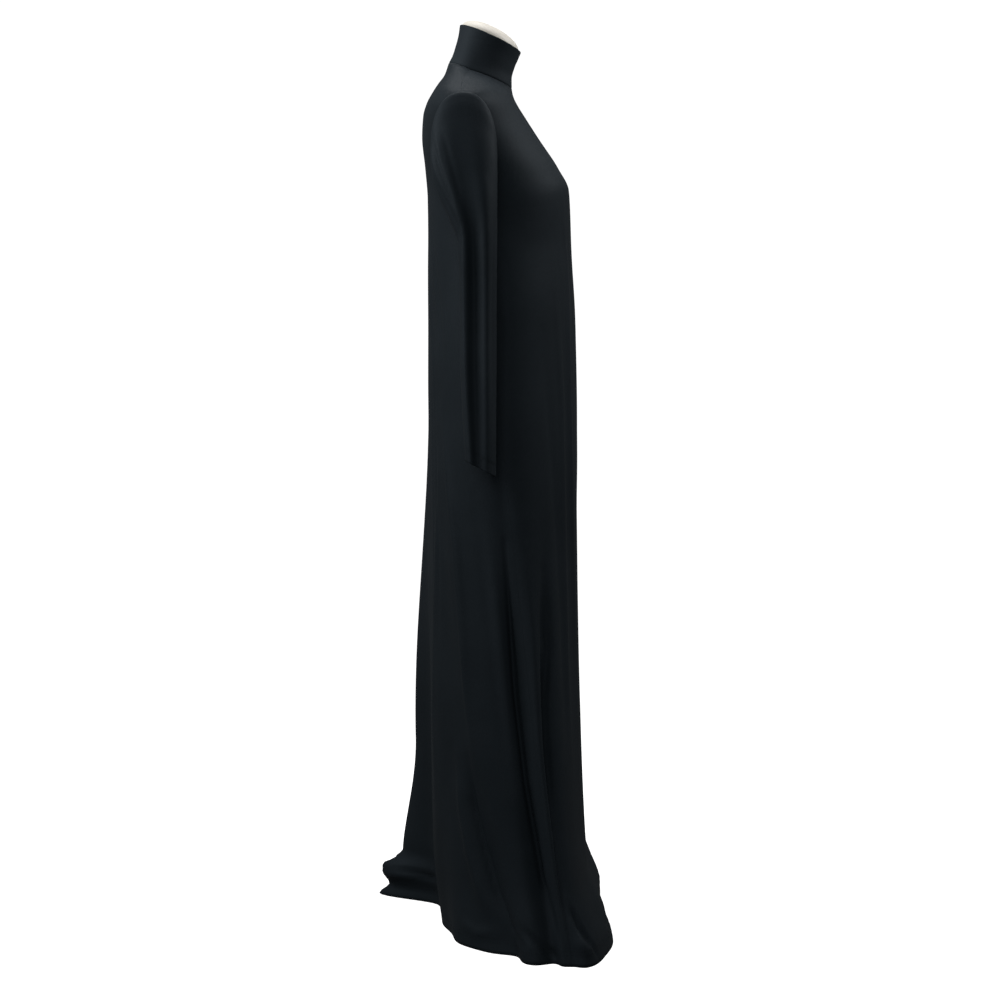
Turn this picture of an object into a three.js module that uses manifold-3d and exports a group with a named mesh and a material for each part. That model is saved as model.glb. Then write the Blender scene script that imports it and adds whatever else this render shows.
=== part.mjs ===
// Maxi dress in black jersey on a limbless dress form with a round stand.
// Millimetres, +Z up. The front faces -Y and the wearer's left is +X.
// The origin is the centre of the flat underside of the stand's base.
import * as THREE from 'three';
import Module from 'manifold-3d';

// Cloth and seams
const CLOTH_WALL = 1.6;
const COLLAR_WALL = 2.6;
const SEAM_GAP = 0.3;
const FORM_GAP = 0.5;
const COLLAR_SHOWING = 0.12;
const NECK_BASE_DROP = 3;

// Facets
const BODY_COLUMNS = 64;
const SIDE_CROWDING = 0.3;
const SLEEVE_COLUMNS = 24;
const CAP_RINGS = 5;

// Stand. The dress and form sit this far back from its pole, so that they balance on it.
const FORM_SETBACK = 12;
const BASE_RADIUS = 100;
const BASE_THICK = 10;
const BASE_ROUND = 3;
const BOSS_RADIUS = 27;
const BOSS_TOP = 36;
const POLE_RADIUS = 14;
const ROUND_FACETS = 40;

// Dome that closes the neck of the form
const CAP_RISE = 9;

// The columns of a table of oval levels: the back, front and side points of an oval, how square
// its two halves are (2 is an ellipse), and the number of facet rows up to the next level.
const LEVEL_COLUMNS = [
  'name', 'backY', 'backZ', 'frontY', 'frontZ', 'sideX', 'sideY', 'sideZ',
  'backSquare', 'frontSquare', 'steps',
];

// The body of the dress, one row for each level from the hem to the neck seam.
const BODY_LEVELS = readTable(
  LEVEL_COLUMNS,
  [
    ['hem', 102, 0, -172, 0, 412, -100, 0, 1.9, 3.6, 1],
    ['dip', 106, 28, -166, 28, 401, -97, 28, 1.9, 3.3, 1],
    ['roll', 111, 58, -156, 58, 388, -94, 58, 1.92, 2.9, 1],
    ['ankle', 116, 110, -146, 110, 366, -86, 110, 1.95, 2.45, 1],
    ['shin', 119, 200, -139, 200, 340, -72, 200, 2.0, 2.25, 1],
    ['calf', 121, 330, -135, 330, 312, -55, 330, 2.05, 2.25, 1],
    ['knee', 122, 480, -133, 480, 284, -38, 480, 2.1, 2.2, 1],
    ['thigh', 122, 630, -130.5, 630, 258, -22, 630, 2.15, 2.2, 1],
    ['seat', 122, 760, -129.5, 760, 237, -8, 760, 2.2, 2.2, 1],
    ['hip', 121.5, 880, -128, 880, 218, 4, 880, 2.2, 2.2, 1],
    ['waist', 121, 1010, -125, 1010, 198, 16, 1010, 2.2, 2.2, 1],
    ['rib', 121, 1115, -119.5, 1115, 184, 26, 1110, 2.2, 2.15, 1],
    ['bust', 122, 1200, -115, 1214, 176, 38, 1180, 2.25, 2.1, 1],
    ['above bust', 126, 1252, -97, 1252, 177, 47, 1228, 2.3, 2.0, 1],
    ['armpit', 131, 1303, -63, 1303, 183, 54, 1275, 2.4, 2.0, 1],
    ['chest', 129, 1337, -41, 1337, 190, 60, 1313, 2.5, 2.1, 1],
    ['shoulder edge', 123, 1357, -29, 1356, 195, 63, 1342, 2.5, 2.15, 1],
    ['shoulder', 114.5, 1373, -23, 1368, 187, 64, 1360, 2.4, 2.1, 1],
    ['mid shoulder', 105, 1389, -20.5, 1376, 152, 62, 1379, 2.3, 2.1, 1],
    ['near neck', 94, 1406, -19.5, 1382, 104, 57, 1398, 2.15, 2.05, 1],
    ['neck seam', 87, 1427, -19, 1386, 62, 50, 1411, 2.0, 2.0, 1],
  ],
);

// The collar, from the neck seam to its folded top edge.
const COLLAR_LEVELS = readTable(
  LEVEL_COLUMNS,
  [
    ['neck seam', 87, 1427, -19, 1386, 62, 50, 1411, 2.0, 2.0, 1],
    ['lower', 80, 1441, -18.8, 1402, 58, 42, 1425, 2.0, 2.0, 1],
    ['middle', 75, 1457, -23.5, 1421, 55.5, 33, 1441, 2.0, 2.0, 1],
    ['upper', 70.5, 1474, -29, 1434, 54.5, 26, 1457, 2.0, 2.0, 1],
    ['top', 68, 1490, -34, 1445, 54.5, 20, 1470, 2.0, 2.0, 1],
  ],
);

// The form's own shape below the bust, where the cloth hangs clear of it.
const FORM_LEVELS = readTable(
  LEVEL_COLUMNS,
  [
    ['underside', 92, 800, -82, 800, 152, 4, 800, 2.2, 2.2, 1],
    ['lower hip', 101, 815, -90, 815, 163, 5, 815, 2.2, 2.2, 1],
    ['hip', 105, 890, -93, 890, 168, 6, 890, 2.2, 2.2, 1],
    ['high hip', 98, 960, -91, 960, 154, 10, 960, 2.2, 2.2, 1],
    ['waist', 84, 1040, -80, 1040, 127, 14, 1040, 2.2, 2.2, 1],
    ['rib', 96, 1110, -88, 1110, 136, 20, 1110, 2.2, 2.2, 1],
  ],
);
const FORM_FIRST_SHARED_LEVEL = 'bust';

// Folds of the skirt. Angles run round the dress: 0 is the wearer's left side, 90 the back,
// 180 the right side, 270 the front. A fold starts at topZ, has midDepth at midZ and hemDepth
// on the floor. Depths above 0 are ridges and below 0 troughs; width is half its spread.
const FOLDS = readTable(
  ['name', 'topAngle', 'hemAngle', 'topZ', 'midZ', 'midDepth', 'hemDepth', 'width'],
  [
    ['back ridge', 81, 80, 800, 330, 24, 62, 9],
    ['back puddle roll', 80, 80, 92, 58, 42, 48, 9],
    ['back puddle dip', 80, 80, 50, 28, -14, 0, 10],
    ['right back trough', 96, 93, 640, 110, -12, -24, 6],
    ['right back ridge', 118, 113, 800, 300, 6, 8, 8],
    ['right panel ridge', 130, 150, 860, 470, 9, 0, 9],
    ['right panel trough', 144, 150, 330, 120, -15, -25, 11],
    ['right hem ridge', 124, 129, 300, 100, 5, 15, 8],
    ['right side trough', 183, 181, 700, 350, -15, -22, 7],
    ['right front trough', 205, 207, 640, 400, -9, -9, 7],
    ['right front ridge', 246, 238, 1130, 700, 5, 1, 10],
    ['right front hem', 250, 250, 120, 40, 5, 9, 18],
    ['front trough', 269, 264, 900, 350, -8, -12, 9],
    ['left front ridge', 296, 301, 1130, 650, 7, 3, 10],
    ['left front hem', 305, 305, 150, 50, -8, -13, 20],
    ['left front trough', 330, 331, 660, 350, -11, -16, 8],
    ['left side ridge', 351, 349, 760, 350, 7, 13, 8],
    ['left side trough', 9, 12, 640, 300, -12, -20, 8],
    ['left back ridge', 42, 36, 800, 400, 9, 13, 9],
    ['left back trough', 60, 65, 620, 250, -12, -16, 6],
  ],
);

// The right sleeve, a row for each ring from inside the armhole to the cuff. A ring's outer and
// inner points lie in the plane of the shoulders, and its front and back edges are given by Y.
// lift is how much higher its back edge is than its front edge, on either side of its middle.
const SLEEVE_RINGS = readTable(
  ['name', 'outX', 'outZ', 'inX', 'inZ', 'frontY', 'backY', 'groove', 'lift'],
  [
    ['inside', 150, 1348, 150, 1232, 28, 90, 0, 0],
    ['armhole', 186, 1353, 176, 1217, 10, 109, 0, 0],
    ['head', 209, 1343, 185, 1209, 6, 111.5, 0, 0],
    ['cap', 228, 1320, 189, 1199, 5, 111.5, 2, 0],
    ['upper arm', 241, 1286, 191.5, 1187, 5, 109, 5, 0],
    ['biceps', 250, 1242, 193.5, 1170, 5.5, 100, 8, 0],
    ['taper', 257, 1192, 195, 1144, 6, 84, 10, 0],
    ['elbow', 262, 1130, 197, 1106, 6.5, 68, 12, 0],
    ['below elbow', 267, 1040, 200, 1034, 7, 65, 12, 0],
    ['forearm', 279, 935, 214, 933, 7, 64, 11, 0],
    ['lower forearm', 291, 840, 229, 839, 7, 60, 10, 2],
    ['cuff', 302, 757, 242, 757, 7, 56, 8, 9],
  ],
);
const SLEEVE_SQUARE = 2.2;
const GROOVE_ANGLE = 15;
const GROOVE_WIDTH = 15;

const BLACK_JERSEY = { color: 0x14181c, roughness: 0.72, metalness: 0.0 };
const BLACK_COLLAR = { color: 0x171a1d, roughness: 0.7, metalness: 0.0 };
const CREAM_COVER = { color: 0xe6e2d3, roughness: 0.85, metalness: 0.0 };
const CREAM_CAP = { color: 0xeae8e0, roughness: 0.55, metalness: 0.0 };
const GREY_STEEL = { color: 0x8d9196, roughness: 0.35, metalness: 0.85 };
const DARK_STEEL = { color: 0x35383c, roughness: 0.5, metalness: 0.6 };

// Tables and smooth values between their rows
function readTable(columns, rows) {
  return rows.map((row) => Object.fromEntries(columns.map((column, i) => [column, row[i]])));
}

function smooth(t) {
  const k = Math.min(Math.max(t, 0), 1);
  return k * k * (3 - 2 * k);
}

// Slope of a column at a row: none at a turning point, so no value overshoots its rows.
function slopeAt(rows, column, i) {
  const before = i > 0 ? rows[i][column] - rows[i - 1][column] : null;
  const after = i < rows.length - 1 ? rows[i + 1][column] - rows[i][column] : null;
  if (before === null) {
    return after;
  }
  if (after === null) {
    return before;
  }
  return before * after <= 0 ? 0 : (2 * before * after) / (before + after);
}

// A level between two rows, with every column of numbers blended smoothly.
function levelBetween(rows, i, t) {
  if (t === 0) {
    return rows[i];
  }
  const blended = {};
  for (const column of Object.keys(rows[i])) {
    const from = rows[i][column];
    const to = rows[i + 1][column];
    if (typeof from !== 'number') {
      continue;
    }
    const leave = slopeAt(rows, column, i) * t * (1 - t) * (1 - t);
    const arrive = slopeAt(rows, column, i + 1) * t * t * (t - 1);
    blended[column] = from + (to - from) * smooth(t) + leave + arrive;
  }
  return blended;
}

function allLevels(rows) {
  const levels = [];
  for (let i = 0; i < rows.length - 1; i += 1) {
    for (let step = 0; step < rows[i].steps; step += 1) {
      levels.push(levelBetween(rows, i, step / rows[i].steps));
    }
  }
  levels.push(rows[rows.length - 1]);
  return levels;
}

// Points of the cloth
function powered(value, power) {
  return Math.sign(value) * Math.abs(value) ** power;
}

function foldDepth(fold, z) {
  if (z >= fold.topZ) {
    return 0;
  }
  if (z >= fold.midZ) {
    return fold.midDepth * smooth((fold.topZ - z) / (fold.topZ - fold.midZ));
  }
  return fold.midDepth + (fold.hemDepth - fold.midDepth) * smooth((fold.midZ - z) / fold.midZ);
}

function foldsAt(angle, z) {
  let out = 0;
  for (const fold of FOLDS) {
    const along = Math.min(Math.max((fold.topZ - z) / fold.topZ, 0), 1);
    const middle = fold.topAngle + (fold.hemAngle - fold.topAngle) * along;
    const turn = THREE.MathUtils.euclideanModulo(angle - middle + 180, 360) - 180;
    out += foldDepth(fold, z) * Math.exp(-((turn / fold.width) ** 2));
  }
  return out;
}

// A point of an oval level at an angle, moved outwards by the folds where it has them.
function levelPoint(level, angle, folded) {
  const c = Math.cos(THREE.MathUtils.degToRad(angle));
  const s = Math.sin(THREE.MathUtils.degToRad(angle));
  const reach = s >= 0 ? level.backY - level.sideY : level.sideY - level.frontY;
  const power = 2 / (s >= 0 ? level.backSquare : level.frontSquare);
  const middleZ = (level.backZ + level.frontZ) / 2;
  const z = middleZ + ((level.backZ - level.frontZ) / 2) * s + (level.sideZ - middleZ) * c * c;
  const x = level.sideX * powered(c, power);
  const y = level.sideY + reach * powered(s, power);
  const point = new THREE.Vector3(x, y, z);
  if (folded) {
    const outwards = new THREE.Vector3(c * reach, s * level.sideX, 0).normalize();
    point.addScaledVector(outwards, foldsAt(angle, z));
  }
  return point;
}

// Angles round the dress, closer together at the side seams where the ovals turn fastest.
function bodyAngles() {
  const angles = [];
  for (let i = 0; i < BODY_COLUMNS; i += 1) {
    const turn = i / BODY_COLUMNS;
    angles.push(360 * (turn - (SIDE_CROWDING * Math.sin(4 * Math.PI * turn)) / (4 * Math.PI)));
  }
  return angles;
}

function levelGrid(levels, angles, folded) {
  return levels.map((level) => angles.map((angle) => levelPoint(level, angle, folded)));
}

function sleeveGrid(side) {
  return SLEEVE_RINGS.map((ring) => {
    const outer = new THREE.Vector3(side * ring.outX, 0, ring.outZ);
    const inner = new THREE.Vector3(side * ring.inX, 0, ring.inZ);
    const middle = outer.clone().add(inner).multiplyScalar(0.5);
    const across = outer.clone().sub(inner).multiplyScalar(0.5);
    const halfY = (ring.backY - ring.frontY) / 2;
    const points = [];
    for (let i = 0; i < SLEEVE_COLUMNS; i += 1) {
      const angle = (360 * i) / SLEEVE_COLUMNS;
      const c = powered(Math.cos(THREE.MathUtils.degToRad(angle)), 2 / SLEEVE_SQUARE);
      const s = powered(Math.sin(THREE.MathUtils.degToRad(angle)), 2 / SLEEVE_SQUARE);
      const turn = THREE.MathUtils.euclideanModulo(angle - GROOVE_ANGLE + 180, 360) - 180;
      const pinch = (ring.groove * Math.exp(-((turn / GROOVE_WIDTH) ** 2))) / across.length();
      const point = middle.clone().addScaledVector(across, c - pinch);
      point.y = (ring.frontY + ring.backY) / 2 + halfY * s;
      point.z += ring.lift * s;
      points.push(point);
    }
    return points;
  });
}

// Every point of a grid that closes round on itself, moved along its own normal.
function offsetGrid(grid, distance) {
  const rows = grid.length;
  const columns = grid[0].length;
  return grid.map((ring, r) => ring.map((point, c) => {
    const round = ring[(c + 1) % columns].clone().sub(ring[(c + columns - 1) % columns]);
    const up = grid[Math.min(r + 1, rows - 1)][c].clone().sub(grid[Math.max(r - 1, 0)][c]);
    return point.clone().addScaledVector(round.cross(up).normalize(), distance);
  }));
}

// An edge ring at a seam: its faces lie level, the wall's own thickness wide, moved up by lift.
function levelEdge(outside, inside, row, wall, lift) {
  const ring = outside[row];
  ring.forEach((point, c) => {
    const round = ring[(c + 1) % ring.length].clone().sub(ring[(c + ring.length - 1) % ring.length]);
    const outwards = new THREE.Vector3(round.y, -round.x, 0).normalize();
    inside[row][c].copy(point).addScaledVector(outwards, -wall);
  });
  for (const point of [...ring, ...inside[row]]) {
    point.z += lift;
  }
}

// Closed meshes
function geometryOf(points, triangles) {
  const geometry = new THREE.BufferGeometry();
  const values = points.flatMap((p) => [p.x, p.y, p.z]);
  geometry.setAttribute('position', new THREE.Float32BufferAttribute(values, 3));
  geometry.setIndex(triangles.flat());
  return facingOut(geometry);
}

function facingOut(geometry) {
  const position = geometry.attributes.position;
  const index = geometry.index.array;
  const corners = [new THREE.Vector3(), new THREE.Vector3(), new THREE.Vector3()];
  let volume = 0;
  for (let i = 0; i < index.length; i += 3) {
    corners.forEach((corner, k) => corner.fromBufferAttribute(position, index[i + k]));
    volume += corners[0].dot(corners[1].clone().cross(corners[2]));
  }
  if (volume < 0) {
    for (let i = 0; i < index.length; i += 3) {
      [index[i], index[i + 1]] = [index[i + 1], index[i]];
    }
  }
  return geometry;
}

function quad(a, b, c, d) {
  return [[a, b, c], [a, c, d]];
}

// A cloth wall between an outer and an inner grid. A tube closes round; a panel has two side edges.
function wallGeometry(outer, inner, isTube) {
  const rows = outer.length;
  const columns = outer[0].length;
  const insideStart = rows * columns;
  const at = (r, c) => r * columns + (c % columns);
  const triangles = [];
  const lastColumn = isTube ? columns : columns - 1;
  for (let r = 0; r < rows - 1; r += 1) {
    for (let c = 0; c < lastColumn; c += 1) {
      const faces = quad(at(r, c), at(r, c + 1), at(r + 1, c + 1), at(r + 1, c));
      triangles.push(...faces);
      triangles.push(...faces.map((face) => face.map((corner) => corner + insideStart).reverse()));
    }
  }
  const edge = (a, b) => triangles.push(...quad(b, a, a + insideStart, b + insideStart));
  for (let c = 0; c < lastColumn; c += 1) {
    edge(at(0, c), at(0, c + 1));
    edge(at(rows - 1, c + 1), at(rows - 1, c));
  }
  if (!isTube) {
    for (let r = 0; r < rows - 1; r += 1) {
      edge(at(r + 1, 0), at(r, 0));
      edge(at(r, columns - 1), at(r + 1, columns - 1));
    }
  }
  return geometryOf([...outer.flat(), ...inner.flat()], triangles);
}

// A solid through rings, closed by a fan at each end.
function loftGeometry(grid) {
  const rows = grid.length;
  const columns = grid[0].length;
  const points = grid.flat();
  const triangles = [];
  for (let r = 0; r < rows - 1; r += 1) {
    for (let c = 0; c < columns; c += 1) {
      const lower = r * columns;
      const upper = lower + columns;
      const next = (c + 1) % columns;
      triangles.push(...quad(lower + c, lower + next, upper + next, upper + c));
    }
  }
  for (const [row, turned] of [[0, true], [rows - 1, false]]) {
    const centre = grid[row].reduce((sum, p) => sum.add(p), new THREE.Vector3()).divideScalar(columns);
    points.push(centre);
    const tip = points.length - 1;
    for (let c = 0; c < columns; c += 1) {
      const a = row * columns + c;
      const b = row * columns + ((c + 1) % columns);
      triangles.push(turned ? [tip, b, a] : [tip, a, b]);
    }
  }
  return geometryOf(points, triangles);
}

// Cuts between closed meshes
const wasm = await Module();
wasm.setup();

function solidOf(geometry) {
  const mesh = new wasm.Mesh({
    numProp: 3,
    vertProperties: new Float32Array(geometry.attributes.position.array),
    triVerts: new Uint32Array(geometry.index.array),
  });
  return new wasm.Manifold(mesh);
}

// The largest whole piece of a cut solid, as a mesh.
function mainPiece(solid) {
  const pieces = solid.decompose().sort((a, b) => b.volume() - a.volume());
  const mesh = pieces[0].getMesh();
  const geometry = new THREE.BufferGeometry();
  geometry.setAttribute('position', new THREE.BufferAttribute(mesh.vertProperties, 3));
  geometry.setIndex(new THREE.BufferAttribute(mesh.triVerts, 1));
  return geometry;
}

function namedMesh(name, geometry, look) {
  geometry.computeVertexNormals();
  const mesh = new THREE.Mesh(geometry, new THREE.MeshStandardMaterial(look));
  mesh.name = name;
  return mesh;
}

// The whole body of the dress, outside and inside, before it is cut into front and back
const angles = bodyAngles();
const bodyLevels = allLevels(BODY_LEVELS);
const bodyOutside = levelGrid(bodyLevels, angles, true);
const bodyInside = offsetGrid(bodyOutside, -CLOTH_WALL);
bodyInside[0].forEach((point) => {
  point.z = 0;
});
levelEdge(bodyOutside, bodyInside, bodyLevels.length - 1, CLOTH_WALL, -SEAM_GAP / 2);

// One panel between the side and shoulder seams; facing is 1 for the back and -1 for the front.
function panelGeometry(facing) {
  const half = BODY_COLUMNS / 2;
  const first = facing > 0 ? 0 : half;
  const cut = (ring) => {
    const points = [];
    for (let c = 0; c <= half; c += 1) {
      points.push(ring[(first + c) % BODY_COLUMNS].clone());
    }
    return points;
  };
  const outside = bodyOutside.map(cut);
  const inside = bodyInside.map(cut);
  bodyOutside.forEach((ring, r) => {
    for (const [edge, turned] of [[0, 1], [half, -1]]) {
      const c = first + edge + BODY_COLUMNS;
      const along = ring[(c + 1) % BODY_COLUMNS].clone().sub(ring[(c - 1) % BODY_COLUMNS]);
      along.setLength((turned * SEAM_GAP) / 2);
      outside[r][edge].add(along);
      inside[r][edge].add(along);
    }
  });
  return wallGeometry(outside, inside, false);
}

// The upper body as a filled solid, a seam's gap larger, that the sleeves end against
function bodyEnvelope() {
  const first = BODY_LEVELS.findIndex((level) => level.name === 'waist');
  return solidOf(loftGeometry(offsetGrid(bodyOutside, SEAM_GAP).slice(first)));
}

function sleeveHollow(side) {
  const grid = sleeveGrid(side);
  return solidOf(loftGeometry(offsetGrid(grid, side * CLOTH_WALL)));
}

function makePanel(name, facing) {
  const panel = solidOf(panelGeometry(facing));
  const cloth = mainPiece(panel.subtract(sleeveHollow(1)).subtract(sleeveHollow(-1)));
  return namedMesh(name, cloth, BLACK_JERSEY);
}

function makeSleeve(name, side) {
  const outside = sleeveGrid(side);
  const wall = solidOf(wallGeometry(outside, offsetGrid(outside, side * CLOTH_WALL), true));
  return namedMesh(name, mainPiece(wall.subtract(bodyEnvelope())), BLACK_JERSEY);
}

function makeCollar() {
  const outside = levelGrid(allLevels(COLLAR_LEVELS), angles, false);
  const inside = offsetGrid(outside, -COLLAR_WALL);
  levelEdge(outside, inside, 0, COLLAR_WALL, SEAM_GAP / 2);
  return namedMesh('collar', wallGeometry(outside, inside, true), BLACK_COLLAR);
}

// The form: its own hips and waist, then the inside of the dress less the gap, then the neck
function formGrid() {
  const first = BODY_LEVELS.findIndex((level) => level.name === FORM_FIRST_SHARED_LEVEL);
  const chest = offsetGrid(bodyOutside, -(CLOTH_WALL + FORM_GAP)).slice(first, -1);
  const lower = levelGrid(FORM_LEVELS, angles, false);
  const neck = offsetGrid(levelGrid(COLLAR_LEVELS, angles, false), -(COLLAR_WALL + FORM_GAP));
  neck[0].forEach((point) => {
    point.z -= NECK_BASE_DROP;
  });
  neck.at(-1).forEach((point, i) => point.lerp(neck.at(-2)[i], COLLAR_SHOWING));
  return [...lower, ...chest, ...neck];
}

function makeTorso() {
  return namedMesh('form_torso', loftGeometry(formGrid()), CREAM_COVER);
}

// A low dome on the sloping top of the neck
function makeNeckCap() {
  const rim = formGrid().at(-1).map((point) => point.clone().add(new THREE.Vector3(0, 0, SEAM_GAP)));
  const centre = rim.reduce((sum, p) => sum.add(p), new THREE.Vector3()).divideScalar(rim.length);
  const grid = [];
  for (let i = 0; i < CAP_RINGS; i += 1) {
    const bow = (Math.PI / 2) * (i / CAP_RINGS);
    const rise = new THREE.Vector3(0, 0, CAP_RISE * Math.sin(bow));
    grid.push(rim.map((point) => centre.clone().lerp(point, Math.cos(bow)).add(rise)));
  }
  const geometry = loftGeometry(grid);
  const position = geometry.attributes.position;
  position.setZ(position.count - 1, centre.z + CAP_RISE);
  return namedMesh('neck_cap', geometry, CREAM_CAP);
}

function makePole() {
  const bottom = BOSS_TOP + SEAM_GAP;
  const top = FORM_LEVELS[0].sideZ - SEAM_GAP;
  const geometry = new THREE.CylinderGeometry(POLE_RADIUS, POLE_RADIUS, top - bottom, ROUND_FACETS);
  geometry.rotateX(Math.PI / 2);
  geometry.translate(0, 0, (top + bottom) / 2);
  return namedMesh('stand_pole', geometry, GREY_STEEL);
}

// The round base with a boss that the pole stands on, turned about its axis
function makeBase() {
  const profile = [
    new THREE.Vector2(0, 0),
    new THREE.Vector2(BASE_RADIUS, 0),
    new THREE.Vector2(BASE_RADIUS, BASE_THICK - BASE_ROUND),
    new THREE.Vector2(BASE_RADIUS - BASE_ROUND, BASE_THICK),
    new THREE.Vector2(BOSS_RADIUS + BASE_ROUND, BASE_THICK),
    new THREE.Vector2(BOSS_RADIUS, BASE_THICK + BASE_ROUND),
    new THREE.Vector2(POLE_RADIUS + BASE_ROUND, BOSS_TOP),
    new THREE.Vector2(0, BOSS_TOP),
  ];
  const geometry = new THREE.LatheGeometry(profile, ROUND_FACETS);
  geometry.rotateX(Math.PI / 2);
  return namedMesh('stand_base', geometry, DARK_STEEL);
}

const garment = new THREE.Group();
garment.add(makePanel('dress_front', -1));
garment.add(makePanel('dress_back', 1));
garment.add(makeSleeve('sleeve_right', -1));
garment.add(makeSleeve('sleeve_left', 1));
garment.add(makeCollar());

const form = new THREE.Group();
form.add(makeTorso());
form.add(makeNeckCap());

const dressOnForm = new THREE.Group();
for (const group of [garment, form]) {
  group.position.y = FORM_SETBACK;
  dressOnForm.add(group);
}
dressOnForm.add(makePole());
dressOnForm.add(makeBase());

export default dressOnForm;
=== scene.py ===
"""Looks of a black jersey maxi dress that hangs on a limbless dress form.

Metres, +Z up. The front of the dress faces -Y and the wearer's left is +X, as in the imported
frame. Tables of the cut are in millimetres, as a maker would write them down.
"""

import logging
import math
from dataclasses import dataclass, field
from enum import Enum

import bmesh
import bpy
import numpy as np
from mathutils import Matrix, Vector
from mathutils.bvhtree import BVHTree


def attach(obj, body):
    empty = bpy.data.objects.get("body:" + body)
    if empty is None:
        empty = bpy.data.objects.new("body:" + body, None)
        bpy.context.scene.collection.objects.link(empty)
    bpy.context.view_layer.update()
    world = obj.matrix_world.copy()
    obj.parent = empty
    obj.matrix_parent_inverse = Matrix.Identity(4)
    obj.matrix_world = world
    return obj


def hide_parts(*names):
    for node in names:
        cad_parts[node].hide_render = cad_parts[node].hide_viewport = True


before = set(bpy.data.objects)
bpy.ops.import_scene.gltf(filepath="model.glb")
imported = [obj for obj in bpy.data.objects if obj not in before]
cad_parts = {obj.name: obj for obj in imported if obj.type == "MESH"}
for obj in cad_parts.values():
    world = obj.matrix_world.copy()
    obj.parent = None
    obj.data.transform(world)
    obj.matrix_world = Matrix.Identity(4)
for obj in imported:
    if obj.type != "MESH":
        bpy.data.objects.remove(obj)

log = logging.getLogger("maxi_dress")

MM = 0.001

# How far behind the frame's origin the tables' own middle lies, in millimetres.
FORM_SETBACK = 12.0

# The share of its length over which a crease fades, and of its depth that its ends keep.
CREASE_FADE = 0.3
CREASE_END = 0.15

# How far the body is grown before the sleeves are cut to it.
SEAM_GAP = 0.2 * MM

# The rows that the stitches follow, and how far they stand off the cloth.
HEM_STITCH_ROWS = (3, 4)
CUFF_STITCH_ROWS = (-8, -9)
STITCH_LIFT = 0.1 * MM

Array = np.ndarray


class Node(str, Enum):
    """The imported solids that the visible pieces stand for."""

    FRONT = "dress_front"
    BACK = "dress_back"
    SLEEVE_RIGHT = "sleeve_right"
    SLEEVE_LEFT = "sleeve_left"
    COLLAR = "collar"
    TORSO = "form_torso"
    CAP = "neck_cap"
    POLE = "stand_pole"
    BASE = "stand_base"


class Slot(str, Enum):
    """The record's material slots for cloth, form and cap."""

    JERSEY = "black_jersey"
    COVER = "cream_cover"
    CAP = "cream_cap"


LEVEL_COLUMNS = (
    "back_y", "back_z", "front_y", "front_z", "side_x", "side_y", "side_z", "back_square", "front_square",
)

# The body of the dress from the hem to the neck seam: the back, front and side points of each
# oval level, and how square its two halves are.
BODY_LEVELS = (
    ("hem", 102, 0, -177, 0, 412, -100, 0, 1.9, 3.6),
    ("dip", 106, 28, -174, 28, 401, -97, 28, 1.9, 3.3),
    ("roll", 111, 58, -163.5, 58, 388, -94, 58, 1.92, 2.9),
    ("ankle", 116, 110, -147.5, 110, 366, -86, 110, 1.95, 2.45),
    ("shin", 119, 200, -142, 200, 340, -72, 200, 2.0, 2.25),
    ("calf", 121, 330, -137, 330, 312, -55, 330, 2.05, 2.25),
    ("knee", 122, 480, -133, 480, 284, -38, 480, 2.1, 2.2),
    ("thigh", 122, 630, -130.5, 630, 258, -22, 630, 2.15, 2.2),
    ("seat", 122, 760, -129.5, 760, 237, -8, 760, 2.2, 2.2),
    ("hip", 121.5, 880, -128, 880, 218, 4, 880, 2.2, 2.2),
    ("waist", 121, 1010, -125, 1010, 198, 16, 1010, 2.2, 2.2),
    ("rib", 121, 1115, -119.5, 1115, 184, 26, 1110, 2.2, 2.15),
    ("bust", 122, 1200, -115, 1214, 176, 38, 1180, 2.25, 2.4),
    ("above bust", 126, 1252, -97, 1252, 177, 47, 1228, 2.3, 2.4),
    ("armpit", 131, 1303, -63, 1303, 183, 54, 1275, 2.4, 2.35),
    ("chest", 129, 1337, -41, 1337, 190, 60, 1313, 2.5, 2.25),
    ("shoulder edge", 123, 1357, -29, 1356, 195, 63, 1342, 2.5, 2.15),
    ("shoulder", 114.5, 1373, -23, 1368, 187, 64, 1360, 2.4, 2.1),
    ("mid shoulder", 105, 1389, -20.5, 1376, 152, 62, 1379, 2.3, 2.1),
    ("near neck", 94, 1406, -19.5, 1382, 104, 57, 1398, 2.15, 2.05),
    ("neck seam", 87, 1427, -19, 1386, 62, 50, 1411, 2.0, 2.0),
)

# The collar, from the neck seam to its folded top edge.
COLLAR_LEVELS = (
    BODY_LEVELS[-1],
    ("lower", 80, 1441, -18.8, 1402, 58, 42, 1425, 2.0, 2.0),
    ("middle", 75, 1457, -23.5, 1421, 55.5, 33, 1441, 2.0, 2.0),
    ("upper", 70.5, 1474, -29, 1434, 54.5, 26, 1457, 2.0, 2.0),
    ("top", 68, 1490, -34, 1445, 54.5, 20, 1470, 2.0, 2.0),
)

# The dress form's own hips and waist, below the bust.
FORM_LEVELS = (
    ("underside", 92, 800, -82, 800, 152, 4, 800, 2.2, 2.2),
    ("lower hip", 101, 815, -90, 815, 163, 5, 815, 2.2, 2.2),
    ("hip", 105, 890, -93, 890, 168, 6, 890, 2.2, 2.2),
    ("high hip", 98, 960, -91, 960, 154, 10, 960, 2.2, 2.2),
    ("waist", 84, 1040, -80, 1040, 127, 14, 1040, 2.2, 2.2),
    ("rib", 96, 1110, -88, 1110, 136, 20, 1110, 2.2, 2.2),
)

FOLD_COLUMNS = ("top_angle", "hem_angle", "top_z", "mid_z", "mid_depth", "hem_depth", "width")

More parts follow.
